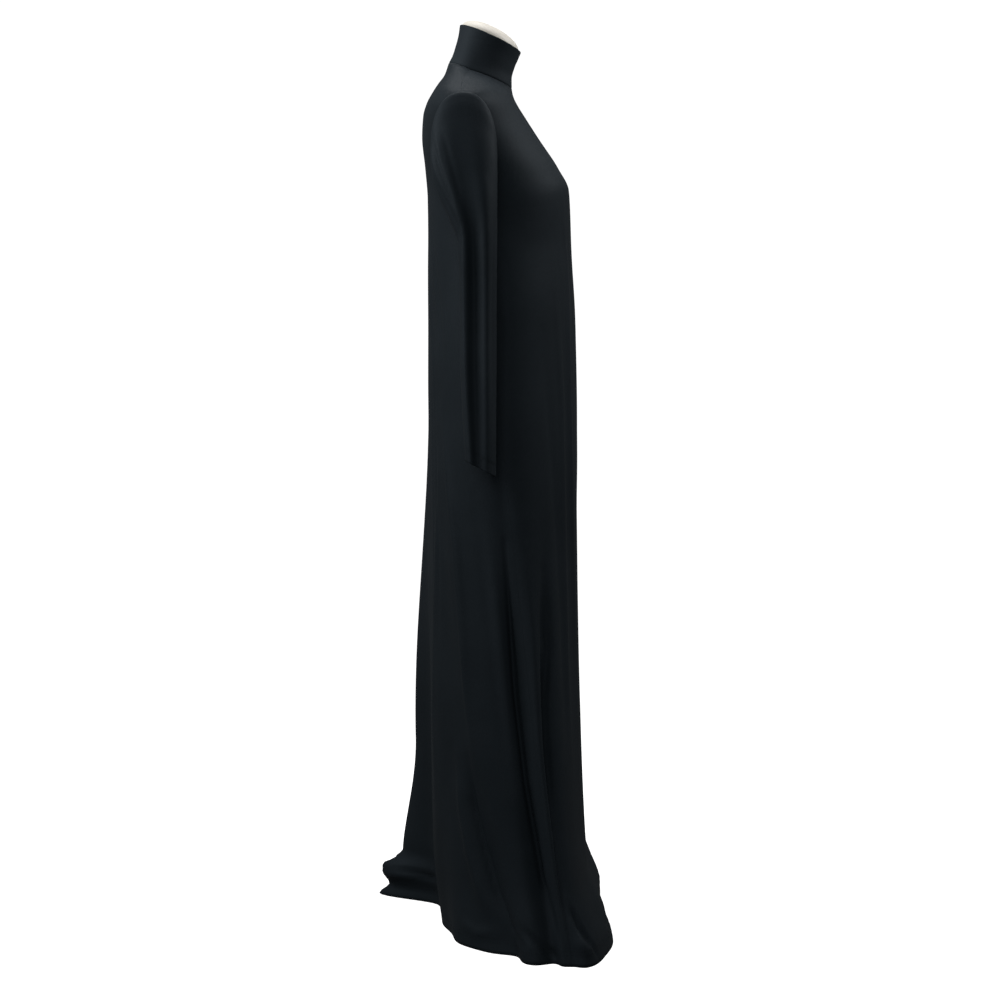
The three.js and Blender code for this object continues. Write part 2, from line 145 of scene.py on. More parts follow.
# Folds of the skirt. 0 degrees is the wearer's left side, 90 the back, 180 the right, 270 the
# front. Depths above 0 are ridges and below 0 troughs.
FOLDS = (
    ("back ridge", 81, 80, 900, 280, 29.5, 70, 9),
    ("back puddle roll", 80, 80, 80, 50, 36, 48, 9),
    ("back puddle dip", 80, 80, 40, 17, -17, 0, 10),
    ("right back trough", 97, 88, 640, 110, -12, -24, 6),
    ("right back ridge", 126, 112, 860, 300, 7, 8, 7.5),
    ("right panel ridge", 134, 160, 860, 560, 9, 0, 8),
    ("right panel trough", 144, 151, 330, 120, -15, -25, 6.8),
    ("right hem ridge", 124, 129, 300, 100, 5, 15, 8),
    ("right side trough", 175.5, 172.5, 760, 350, -16, -26, 5.8),
    ("right front trough", 207, 184, 700, 420, -13, -10, 5.5),
    ("right front ridge", 246, 238, 1130, 700, 6, 1, 8),
    ("right front hem", 250, 250, 120, 40, 5, 9, 18),
    ("front trough", 269, 264, 900, 350, -8, -12, 9),
    ("left front ridge", 296, 301, 1130, 650, 7, 3, 10),
    ("left front hem", 305, 305, 150, 50, -8, -13, 20),
    ("left front trough", 330, 331, 660, 350, -11, -16, 8),
    ("left side ridge", 351, 349, 760, 350, 7, 13, 8),
    ("left side trough", 9, 12, 640, 300, -12, -20, 8),
    ("left back ridge", 42, 36, 800, 400, 9, 13, 9),
    ("left back trough", 60, 65, 620, 250, -12, -16, 6),
)

SLEEVE_COLUMNS = ("out_x", "out_z", "in_x", "in_z", "front_y", "back_y", "groove", "lift")

# A sleeve from inside the armhole to the cuff; outer and inner points, then its Y reach.
SLEEVE_RINGS = (
    ("inside", 150, 1348, 150, 1232, 28, 90, 0, 0),
    ("armhole", 190, 1362.5, 176, 1217, 10, 109, 0, 0),
    ("head", 200, 1348, 185, 1209, 6, 111.5, 0, 0),
    ("cap", 211, 1319, 189, 1199, 5, 111.5, 2, 0),
    ("upper arm", 223, 1287, 191.5, 1187, 5, 109, 5, 0),
    ("biceps", 236, 1242, 193.5, 1170, 5.5, 100, 8, 0),
    ("taper", 247, 1192, 195, 1144, 6, 84, 11, 0),
    ("elbow", 254, 1130, 197, 1106, 6.5, 68, 13, 0),
    ("below elbow", 260, 1040, 200, 1034, 7, 65, 13, 0),
    ("forearm", 273, 935, 214, 933, 7, 64, 12, 0),
    ("lower forearm", 286, 840, 229, 839, 7, 60, 11, 3),
    ("cuff", 299, 765, 242, 765, 7, 56, 9, 13),
)

# Finer creases of the body: depth, half width, then (angle, height) points along each.
BODY_CREASES = (
    # The right side: its long troughs and the ridges beside them.
    (-9, 3.6, ((175, 650), (174, 540), (172, 400), (172, 270), (173, 124), (176, 61), (181, 20))),
    (-8, 9, ((203, 600), (204, 474), (195, 388), (192, 320), (191, 200))),
    (-10, 6, ((142, 300), (143, 220), (145, 160), (148, 95), (152, 45), (161, 26))),
    (9, 12, ((135, 300), (137, 220), (139, 150), (142, 85), (146, 35))),
    (3.4, 8, ((130, 860), (137, 757), (144, 640), (146, 535), (146, 400), (147, 280))),
    (-2.6, 11, ((158, 720), (162, 520), (164, 330), (166, 180))),
    (2, 9, ((166, 640), (167, 460), (167, 300))),
    (3.4, 8, ((189, 640), (188, 480), (183, 340), (182, 180), (186, 60))),
    (-4, 11, ((189, 1130), (185, 983), (180, 840), (178, 745), (177, 640))),
    # The right back: pulls from the shoulder, fine streaks and the edge.
    (-1.6, 8, ((112, 1170), (128, 1040), (136, 900))),
    (1.8, 9, ((104, 1120), (116, 930), (122, 780))),
    (1.3, 5, ((109, 1060), (113, 860), (114, 640), (111, 440))),
    (-1.4, 5, ((118, 960), (121, 760), (124, 600), (123, 420))),
    (-1.2, 5, ((101, 1000), (105, 780), (108, 600))),
    (2.4, 7, ((125, 780), (119, 530), (116, 360), (116, 160))),
    (-2.6, 8, ((104, 640), (100, 460), (99, 300), (97, 160))),
    # The right front, with the drop from the bust.
    (-2.2, 11, ((214, 980), (217, 760), (220, 520), (214, 300))),
    (3, 9, ((228, 1110), (229, 860), (226, 560), (222, 300))),
    (2.4, 7, ((243, 1200), (247, 1098), (241, 983), (239, 868), (238, 600), (238, 420))),
    (-1.6, 6, ((252, 1160), (253, 900), (249, 620), (246, 380))),
    # The middle and left front.
    (1.4, 8, ((262, 1120), (261, 880), (258, 640))),
    (2.6, 12, ((276, 700), (277, 420), (280, 160))),
    (-2.2, 9, ((288, 1060), (289, 800), (291, 520))),
    (2.2, 9, ((312, 1100), (313, 820), (316, 520), (318, 240))),
    (-2.6, 12, ((322, 960), (325, 700), (322, 420))),
    # The left side.
    (2.8, 8, ((358, 700), (359, 480), (2, 240), (3, 80))),
    (-4, 6, ((9, 620), (10, 420), (12, 220), (12, 70))),
    (2.4, 9, ((32, 820), (27, 600), (24, 380), (22, 160))),
    # The left back and the middle of the back.
    (-2, 9, ((66, 1120), (56, 940), (50, 760))),
    (1.3, 5, ((62, 1040), (58, 800), (56, 600))),
    (-1.3, 5, ((74, 980), (71, 760), (70, 560))),
    (2.4, 8, ((72, 900), (70, 640), (72, 380), (73, 180))),
    (-2.2, 10, ((90, 1060), (91, 820), (92, 620))),
    (1.4, 10, ((98, 1190), (100, 980), (102, 780))),
    # The roll behind the heels.
    (-8, 6, ((74, 66), (79, 60), (86, 64))),
    (5, 6, ((76, 44), (82, 40), (88, 46))),
    (-7, 5, ((70, 30), (76, 24), (83, 30))),
    (-6, 5, ((84, 52), (90, 46), (96, 50))),
    # The hem, from the right side round the front to the left.
    (3, 8, ((130, 40), (138, 26), (146, 34))),
    (-5, 6, ((160, 52), (166, 34), (172, 14), (176, 2))),
    (-7, 6, ((192, 90), (196, 56), (204, 30), (212, 8))),
    (3.5, 9, ((188, 40), (198, 22), (210, 28))),
    (-3.5, 9, ((232, 44), (244, 26), (256, 36))),
    (3, 9, ((262, 30), (274, 20), (286, 30))),
    (-3.5, 9, ((330, 46), (342, 26), (354, 36))),
    (3.5, 9, ((14, 40), (26, 24), (40, 34))),
)

# Creases of a sleeve: depth, half width, then (angle, share of its length) points.
SLEEVE_CREASES = (
    # Pulls at the back of the upper arm.
    (-2, 5, ((68, 0.11), (58, 0.175), (51, 0.25), (45, 0.33))),
    (-1.6, 5, ((42, 0.12), (32, 0.17), (26, 0.23), (26, 0.31))),
    (-2.2, 5, ((86, 0.16), (74, 0.25), (62, 0.34), (58, 0.42))),
    (1.6, 4, ((60, 0.1), (52, 0.19), (46, 0.27), (42, 0.36))),
    (1.4, 5, ((84, 0.1), (76, 0.2), (66, 0.29))),
    # Down the outside, the front edge and the inside.
    (2, 5, ((50, 0.36), (48, 0.6), (48, 0.95))),
    (1.9, 7, ((-32, 0.24), (-29, 0.53), (-26, 0.81), (-26, 0.95))),
    (-1.4, 6, ((-52, 0.2), (-54, 0.5), (-52, 0.85))),
    (1.2, 6, ((-78, 0.15), (-80, 0.5), (-80, 0.9))),
    (-3, 10, ((182, 0.34), (176, 0.62), (178, 0.94))),
)


# Smooth values between the rows of a table


def column_arrays(rows: tuple, columns: tuple[str, ...]) -> dict[str, Array]:
    """The numbers of a table by column.

    Args:
        rows: rows that start with a name.
        columns: the names of the values after it.

    Returns:
        One array for each column.
    """
    return {name: np.array([row[i + 1] for row in rows], float) for i, name in enumerate(columns)}


def eased(value: Array) -> Array:
    """A smooth step from 0 to 1 of a share that is cut to that range."""
    share = np.clip(value, 0.0, 1.0)
    return share * share * (3.0 - 2.0 * share)


def through(places: Array, values: Array, at: Array) -> Array:
    """A smooth curve through values that never swings past them.

    Args:
        places: rising places of the values.
        values: what the curve passes through.
        at: where the curve is read.

    Returns:
        The curve's values.
    """
    step = np.diff(places)
    rise = np.diff(values) / step
    slope = np.zeros(len(values))
    slope[0], slope[-1] = rise[0], rise[-1]
    for i in range(1, len(values) - 1):
        if rise[i - 1] * rise[i] > 0:
            slope[i] = 2 * rise[i - 1] * rise[i] / (rise[i - 1] + rise[i])
    k = np.clip(np.searchsorted(places, at, side="right") - 1, 0, len(step) - 1)
    t = (at - places[k]) / step[k]
    from_start = (1 + 2 * t) * (1 - t) ** 2 * values[k] + t * (1 - t) ** 2 * step[k] * slope[k]
    to_end = t * t * (3 - 2 * t) * values[k + 1] + t * t * (t - 1) * step[k] * slope[k + 1]
    return from_start + to_end


def powered(value: Array, power: Array) -> Array:
    """A power that keeps the sign of its base."""
    return np.sign(value) * np.abs(value) ** power


def turn_between(angle: Array, middle: Array | float) -> Array:
    """The turn from one angle to another, from -180 to 180 degrees."""
    return (angle - middle + 180.0) % 360.0 - 180.0


# Grids of points


def grid_normals(points: Array, round_it: bool) -> Array:
    """Unit normals of a grid, from its neighbours along both ways.

    Args:
        points: an array of rows, columns and x, y, z.
        round_it: whether its last column meets its first.

    Returns:
        An array of the same shape.
    """
    if round_it:
        across = np.roll(points, -1, axis=1) - np.roll(points, 1, axis=1)
    else:
        across = np.gradient(points, axis=1)
    along = np.gradient(points, axis=0)
    normals = np.cross(across, along)
    return normals / np.maximum(np.linalg.norm(normals, axis=2, keepdims=True), 1e-12)


def crease_offsets(points: Array, path: Array, depth: float, width: float) -> Array:
    """How far a crease moves each point along its normal.

    Args:
        points: the grid, in metres.
        path: the crease's own points.
        depth: its height where it is deepest, below 0 for a trough.
        width: half its spread.

    Returns:
        One offset for each point.
    """
    lengths = np.linalg.norm(np.diff(path, axis=0), axis=1)
    total = lengths.sum()
    best = np.full(points.shape[:2], np.inf)
    place = np.zeros(points.shape[:2])
    start = 0.0
    for i, length in enumerate(lengths):
        line = path[i + 1] - path[i]
        share = np.clip(((points - path[i]) @ line) / length**2, 0.0, 1.0)
        gap = np.linalg.norm(points - path[i] - share[..., None] * line, axis=2)
        nearer = gap < best
        best = np.where(nearer, gap, best)
        place = np.where(nearer, (start + share * length) / total, place)
        start += length
    fade = eased(np.minimum(place, 1.0 - place) / CREASE_FADE) * (1.0 - CREASE_END) + CREASE_END
    return depth * fade * np.exp(-((best / width) ** 2))


@dataclass
class LevelTable:
    """Oval levels of a garment or form, read smoothly between its rows."""

    rows: tuple

    def read(self, count: int) -> dict[str, Array]:
        """Every column at evenly spaced places along the surface.

        Args:
            count: how many levels to give.

        Returns:
            The columns, in metres but for the two squareness columns.
        """
        columns = column_arrays(self.rows, LEVEL_COLUMNS)
        step = np.zeros(len(self.rows) - 1)
        for y, z in (("back_y", "back_z"), ("front_y", "front_z"), ("side_x", "side_z")):
            step += np.hypot(np.diff(columns[y]), np.diff(columns[z])) / 3.0
        places = np.concatenate([[0.0], np.cumsum(step)])
        at = np.linspace(0.0, places[-1], count)
        return {name: through(places, values, at) for name, values in columns.items()}

    def points(self, count: int, angles: Array, folded: bool = False) -> Array:
        """The grid of the surface.

        Args:
            count: how many levels.
            angles: the angles round each, in degrees.
            folded: whether the skirt's folds move it.

        Returns:
            Points in metres, in the frame of the part.
        """
        level = {name: values[:, None] for name, values in self.read(count).items()}
        cosine, sine = np.cos(np.radians(angles))[None, :], np.sin(np.radians(angles))[None, :]
        back = sine >= 0
        reach = np.where(back, level["back_y"] - level["side_y"], level["side_y"] - level["front_y"])
        power = 2.0 / np.where(back, level["back_square"], level["front_square"])
        middle_z = (level["back_z"] + level["front_z"]) / 2
        x = level["side_x"] * powered(cosine, power)
        y = level["side_y"] + reach * powered(sine, power)
        z = middle_z + (level["back_z"] - level["front_z"]) / 2 * sine
        z = z + (level["side_z"] - middle_z) * cosine**2
        if folded:
            out = fold_offsets(np.broadcast_to(angles[None, :], z.shape), z)
            size = np.hypot(cosine * reach, sine * level["side_x"])
            x = x + out * cosine * reach / size
            y = y + out * sine * level["side_x"] / size
        return np.stack([x, y + FORM_SETBACK, z], axis=2) * MM


def fold_offsets(angle: Array, z: Array) -> Array:
    """How far the skirt's folds stand out at an angle and a height, in millimetres."""
    out = np.zeros(z.shape)
    folds = column_arrays(FOLDS, FOLD_COLUMNS)
    for top, hem, top_z, mid_z, mid, low, width in zip(*folds.values()):
        along = np.clip((top_z - z) / top_z, 0.0, 1.0)
        upper = mid * eased((top_z - z) / (top_z - mid_z))
        lower = mid + (low - mid) * eased((mid_z - z) / mid_z)
        depth = np.where(z >= mid_z, upper, lower)
        out += depth * np.exp(-((turn_between(angle, top + (hem - top) * along) / width) ** 2))
    return out


def crowded_angles(count: int, crowding: float = 0.3) -> Array:
    """Angles round the body, closer together at the side seams.

    Args:
        count: how many angles.
        crowding: how much closer they lie there.

    Returns:
        Angles in degrees, starting at 0.
    """
    turn = np.arange(count) / count
    return 360.0 * (turn - crowding * np.sin(4 * np.pi * turn) / (4 * np.pi))


def extra_lines(points: Array, normals: Array, distances: tuple, depths: tuple, end: bool) -> Array:
    """Adds lines of points next to a grid's first or last column, so that an edge can roll in.

    Args:
        points: the grid.
        normals: its normals.
        distances: how far each new line, and the edge, lies from the old edge, rising.
        depths: how far each sinks.
        end: whether the last column is meant.

    Returns:
        The grid with its new columns.
    """
    if end:
        flipped = extra_lines(points[:, ::-1], normals[:, ::-1], distances, depths, False)
        return flipped[:, ::-1]
    away = points[:, 1] - points[:, 0]
    away = away / np.maximum(np.linalg.norm(away, axis=1, keepdims=True), 1e-9)
    room = np.linalg.norm(points[:, 1] - points[:, 0], axis=1)[:, None]
    share_of_room = 0.8
    lines = []
    for distance, depth in zip(distances, depths):
        reach = np.minimum(distance, room * share_of_room * distance / distances[-1])
        lines.append(points[:, 0] + away * reach - normals[:, 0] * depth)
    return np.concatenate([np.stack(lines, axis=1), points[:, 1:]], axis=1)


# Meshes


def grid_faces(rows: int, columns: int, round_it: bool) -> list[tuple[int, int, int, int]]:
    """Quads of a grid of points, facing the way its normals do."""
    last = columns if round_it else columns - 1
    faces = []
    for r in range(rows - 1):
        for c in range(last):
            d = (c + 1) % columns
            faces.append((r * columns + c, r * columns + d, (r + 1) * columns + d, (r + 1) * columns + c))
    return faces


def linked(name: str, data: bpy.types.ID) -> bpy.types.Object:
    """An object of a mesh, light or camera, linked to the scene."""
    made = bpy.data.objects.new(name, data)
    bpy.context.scene.collection.objects.link(made)
    return made


def make_object(name: str, points: Array, faces: list) -> bpy.types.Object:
    """A smooth-shaded mesh object at the origin.

    Args:
        name: the piece's name.
        points: its vertices, in metres.
        faces: its faces.

    Returns:
        The object, linked to the scene.
    """
    mesh = bpy.data.meshes.new(name)
    mesh.from_pydata(points.reshape(-1, 3).tolist(), [], faces)
    mesh.polygons.foreach_set("use_smooth", [True] * len(mesh.polygons))
    mesh.update()
    return linked(name, mesh)


def add_cloth_map(made: bpy.types.Object, rows: int, columns: int, cloth: tuple[float, float]) -> None:
    """Gives a grid mesh a UV map in metres of cloth.

    Args:
        made: the object, whose vertices are the grid's in order.
        rows: the grid's rows.
        columns: its columns.
        cloth: the cloth's width across the columns and its length along the rows.
    """
    mesh = made.data
    corner = np.zeros(len(mesh.loops), np.int32)
    mesh.loops.foreach_get("vertex_index", corner)
    u = (corner % columns) / (columns - 1) * cloth[0]
    v = (corner // columns) / (rows - 1) * cloth[1]
    layer = mesh.uv_layers.new(name="cloth")
    layer.data.foreach_set("uv", np.stack([u, v], axis=1).astype(np.float32).ravel())


def thicken(made: bpy.types.Object, wall: float) -> None:
    """Turns an open sheet into a thin closed shell, inwards from its points."""
    solid = made.modifiers.new("wall", "SOLIDIFY")
    solid.thickness = wall
    solid.offset = -1.0
    solid.use_even_offset = False
    settle(made)


def settle(made: bpy.types.Object) -> None:
    """Applies a piece's modifiers to its mesh."""
    graph = bpy.context.evaluated_depsgraph_get()
    done = bpy.data.meshes.new_from_object(made.evaluated_get(graph), depsgraph=graph)
    old = made.data
    made.modifiers.clear()
    made.data = done
    bpy.data.meshes.remove(old)


def dressed(made: bpy.types.Object, material: bpy.types.Material, node: Node | None) -> None:
    """Gives a finished piece its material, body and the solid that it stands for."""
    made.data.materials.clear()
    made.data.materials.append(material)
    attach(made, "root")
    if node is not None:
        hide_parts(node.value)
    faces = sum(len(p.vertices) - 2 for p in made.data.polygons)
    log.info("%s: %d triangles, finish %s", made.name, faces, material.name)


# Finishes


class NodePen:
    """Adds and joins nodes of one material."""

    def __init__(self, material: bpy.types.Material) -> None:
        """Clears the material's tree."""
        material.use_nodes = True
        self.tree = material.node_tree
        self.tree.nodes.clear()

    def feed(self, socket: bpy.types.NodeSocket, value: object) -> None:
        """Links an output to an input, or sets the input to a constant."""
        if isinstance(value, bpy.types.NodeSocket):
            self.tree.links.new(value, socket)
        else:
            socket.default_value = value

    def add(self, kind: str, **values: object) -> bpy.types.Node:
        """Adds a node and sets its properties, or its inputs where no property has that name.

        Args:
            kind: the node's type after ShaderNode.
            values: constants or outputs by name; an input's name has _ for a space.

        Returns:
            The node.
        """
        node = self.tree.nodes.new("ShaderNode" + kind)
        for name, value in values.items():
            if hasattr(node, name):
                setattr(node, name, value)
            else:
                self.feed(node.inputs[name.replace("_", " ")], value)
        return node

    def math(self, operation: str, *values: object) -> bpy.types.NodeSocket:
        """Adds a sum of constants or outputs and gives its result."""
        node = self.add("Math", operation=operation)
        for socket, value in zip(node.inputs, values):
            self.feed(socket, value)
        return node.outputs[0]

    def ramp(self, share: bpy.types.NodeSocket, dark: tuple, light: tuple) -> bpy.types.NodeSocket:
        """Adds a run from one colour to another with a share, and gives its colour."""
        node = self.add("ValToRGB", Fac=share)
        node.color_ramp.elements[0].color = dark
        node.color_ramp.elements[1].color = light
        return node.outputs["Color"]

    def close(self, shader: bpy.types.Node) -> None:
        """Makes a shader the material's surface."""
        self.add("OutputMaterial", Surface=shader.outputs["BSDF"])


@dataclass(frozen=True)
class JerseyFinish:
    """Fine black viscose jersey: soft sheen, a knit too small to see from a step away."""

    name: str = "black jersey"
    dark: tuple = (0.0120, 0.0165, 0.0205, 1.0)
    light: tuple = (0.0185, 0.0245, 0.0300, 1.0)
    specular: float = 0.12
    specular_tint: tuple = (0.7, 0.86, 1.0, 1.0)
    roughness: float = 0.6
    sheen: float = 0.01
    sheen_roughness: float = 0.4
    sheen_tint: tuple = (0.62, 0.72, 0.80, 1.0)
    wale: float = 0.0011
    course: float = 0.0009
    knit_bump: float = 0.10
    wrinkle_bump: float = 0.10

    def make(self) -> bpy.types.Material:
        """The finished material."""
        material = bpy.data.materials.new(self.name)
        pen = NodePen(material)
        place = pen.add("TexCoord").outputs["Object"]
        pen.close(pen.add(
            "BsdfPrincipled", Roughness=self.roughness, Sheen_Weight=self.sheen,
            Sheen_Roughness=self.sheen_roughness, Sheen_Tint=self.sheen_tint,
            Specular_IOR_Level=self.specular, Specular_Tint=self.specular_tint,
            Base_Color=self.colour(pen, place), Normal=self.relief(pen, place),
        ))
        return material

    def colour(self, pen: NodePen, place: bpy.types.NodeSocket) -> bpy.types.NodeSocket:
        """The yarn's tone: broad soft patches with fine fibres in them."""
        patches = pen.add("TexNoise", Scale=7.0, Detail=4.0, Roughness=0.55, Vector=place)
        fibres = pen.add("TexNoise", Scale=420.0, Detail=3.0, Roughness=0.7, Vector=place)
        both = pen.math("MULTIPLY_ADD", fibres.outputs["Fac"], 0.55, patches.outputs["Fac"])
        spread = pen.add("MapRange", Value=both, From_Min=0.5, From_Max=1.05, To_Min=0.0, To_Max=1.0)
        return pen.ramp(spread.outputs["Result"], self.dark, self.light)

    def relief(self, pen: NodePen, place: bpy.types.NodeSocket) -> bpy.types.NodeSocket:
        """The cloth's small relief: its knit, on a slack unevenness."""
        knit = pen.add("Bump", Strength=self.knit_bump, Distance=0.0003, Height=self.knit_height(pen))
        slack = pen.add("TexNoise", Scale=26.0, Detail=3.0, Roughness=0.5, Distortion=0.3, Vector=place)
        uneven = pen.add(
            "Bump", Strength=self.wrinkle_bump, Distance=0.0018, Height=slack.outputs["Fac"],
            Normal=knit.outputs["Normal"],
        )
        return uneven.outputs["Normal"]

    def knit_height(self, pen: NodePen) -> bpy.types.NodeSocket:
        """The height of the knit: wales across the cloth, each a column of small loops."""
        cloth = pen.add("UVMap", uv_map="cloth")
        parts = pen.add("SeparateXYZ", Vector=cloth.outputs["UV"])
        wales, courses = (
            pen.math("SINE", pen.math("MULTIPLY", parts.outputs[axis], 2 * math.pi / period))
            for axis, period in (("X", self.wale), ("Y", self.course))
        )
        return pen.math("MULTIPLY_ADD", courses, 0.4, wales)


@dataclass(frozen=True)
class PlainFinish:
    """A plain surface with a fine grain: painted shell, steel or backdrop."""

    name: str
    base: tuple
    roughness: float
    metallic: float = 0.0
    grain_scale: tuple = (300.0, 300.0, 300.0)
    grain_bump: float = 0.1
    tone_spread: float = 0.06
    glow: float = 0.0

    def make(self) -> bpy.types.Material:
        """The finished material."""
        material = bpy.data.materials.new(self.name)
        pen = NodePen(material)
        place = pen.add("TexCoord").outputs["Object"]
        scaled = pen.add("Mapping", Vector=place, Scale=self.grain_scale).outputs["Vector"]
        grain = pen.add("TexNoise", Scale=1.0, Detail=4.0, Roughness=0.6, Vector=scaled).outputs["Fac"]
        dark, light = (
            (*(min(c * tone, 1.0) for c in self.base), 1.0)
            for tone in (1.0 - self.tone_spread, 1.0 + self.tone_spread)
        )
        bump = pen.add("Bump", Strength=self.grain_bump, Distance=0.0002, Height=grain)
        pen.close(pen.add(
            "BsdfPrincipled", Roughness=self.roughness, Metallic=self.metallic,
            Emission_Color=(1.0, 1.0, 1.0, 1.0), Emission_Strength=self.glow,
            Base_Color=pen.ramp(grain, dark, light), Normal=bump.outputs["Normal"],
        ))
        return material


# The pieces of the dress


@dataclass
class Body:
    """The front and back of the dress, from the neck seam to the pooled hem."""

    wall: float = 1.2 * MM
    columns: int = 320
    rows: int = 250
    cloth: tuple = (1.05, 1.5)
    seam_lines: tuple = (0.0, 0.4 * MM, 1.1 * MM, 2.4 * MM)
    seam_sink: tuple = (0.1 * MM, 0.0, 0.0, 0.0)
    angles: Array = field(init=False)
    outside: Array = field(init=False)
    smooth: Array = field(init=False)

    def __post_init__(self) -> None:
        """Works out the whole body before it is cut into its two panels."""
        self.angles = crowded_angles(self.columns)
        self.smooth = LevelTable(BODY_LEVELS).points(self.rows, self.angles, folded=True)
        normals = grid_normals(self.smooth, True)
        offsets = np.zeros(self.smooth.shape[:2])
        for depth, width, places in BODY_CREASES:
            path = np.array([self.place(angle, z * MM) for angle, z in places])
            offsets += crease_offsets(self.smooth, path, depth * MM, width * MM)
        self.outside = self.smooth + normals * offsets[..., None]
        self.outside[..., 2] = np.maximum(self.outside[..., 2], 0.0)
        self.outside[0, :, 2] = 0.0

    def place(self, angle: float, z: float) -> Array:
        """A point of the body at an angle and a height."""
        column = int(np.argmin(np.abs(turn_between(self.angles, angle))))
        line = self.smooth[:, column]
        return np.array([np.interp(z, line[:, 2], line[:, 0]), np.interp(z, line[:, 2], line[:, 1]), z])

    def envelope(self, grow: float) -> BVHTree:
        """A search tree of the body's surface, moved out by a distance."""
        moved = self.outside + grid_normals(self.outside, True) * grow
        faces = grid_faces(self.rows, self.columns, True)
        return BVHTree.FromPolygons(moved.reshape(-1, 3).tolist(), faces)

    def panel(self, facing: int) -> Array:
        """The points of one panel, its edges rolled in at the side and shoulder seams.

        Args:
            facing: 1 for the back and -1 for the front.

        Returns:
            A grid between its two seams.
        """
        half = self.columns // 2
        first = 0 if facing > 0 else half
        picks = [(first + c) % self.columns for c in range(half + 1)]
        points = self.outside[:, picks]
        normals = grid_normals(self.outside, True)[:, picks]
        for end in (False, True):
            before = points.shape[1]
            points = extra_lines(points, normals, self.seam_lines, self.seam_sink, end)
            added = points.shape[1] - before
            fill = normals[:, -1:] if end else normals[:, :1]
            repeated = np.repeat(fill, added, axis=1)
            normals = np.concatenate([normals, repeated] if end else [repeated, normals], axis=1)
        return points

    def build(self, name: str, facing: int, hollows: list["Sleeve"]) -> bpy.types.Object:
        """One panel as a thin shell with its armholes open.

        Args:
            name: the piece's name.
            facing: 1 for the back and -1 for the front.
            hollows: the sleeves that open into it.

        Returns:
            The object.
        """
        points = self.panel(facing)
        rows, columns = points.shape[:2]
        made = make_object(name, points, grid_faces(rows, columns, False))
        add_cloth_map(made, rows, columns, self.cloth)
        for sleeve in hollows:
            sleeve.open_armhole(made)
        thicken(made, self.wall)
        return made


